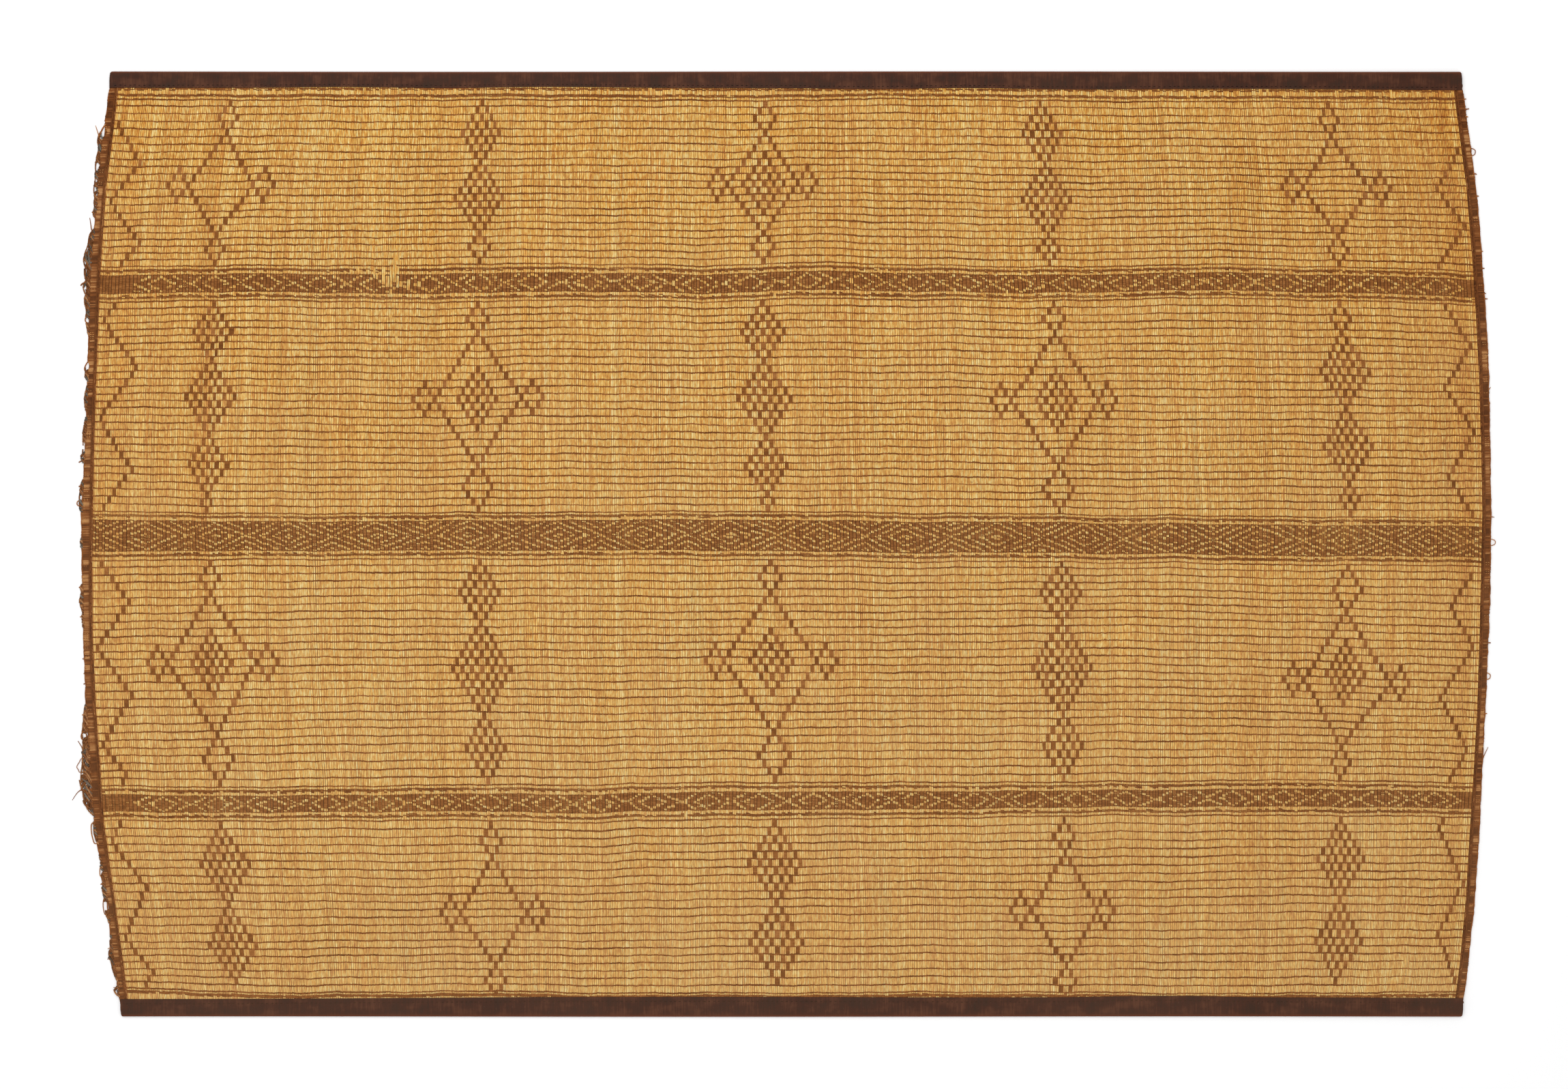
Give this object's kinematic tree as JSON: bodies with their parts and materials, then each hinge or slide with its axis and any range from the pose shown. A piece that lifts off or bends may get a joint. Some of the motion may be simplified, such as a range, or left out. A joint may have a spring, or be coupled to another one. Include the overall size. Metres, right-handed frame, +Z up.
{
  "type": "reed and leather floor mat",
  "caption": "Flat floor mat of reeds tied with twined leather thongs, with leather bands, diamond figures, folded leather bindings and wrapped side edges.",
  "frame": {"origin": "middle of the mat's underside, on the floor it lies on", "axes": "+X along the longer side, +Y along the reeds towards the top binding, +Z up out of the face"},
  "size_m": [2.7425, 1.83, 0.0064],
  "materials": {
    "reed": "dry split reed with a slight sheen",
    "binding_leather": "dark, worn and slightly polished",
    "thong_leather": "brown and matt"
  },
  "bodies": {
    "root": {"reed_field": "reed", "binding_top": "binding_leather", "binding_bottom": "binding_leather", "selvedge_left": "thong_leather", "selvedge_right": "thong_leather"}
  },
  "joints": []
}
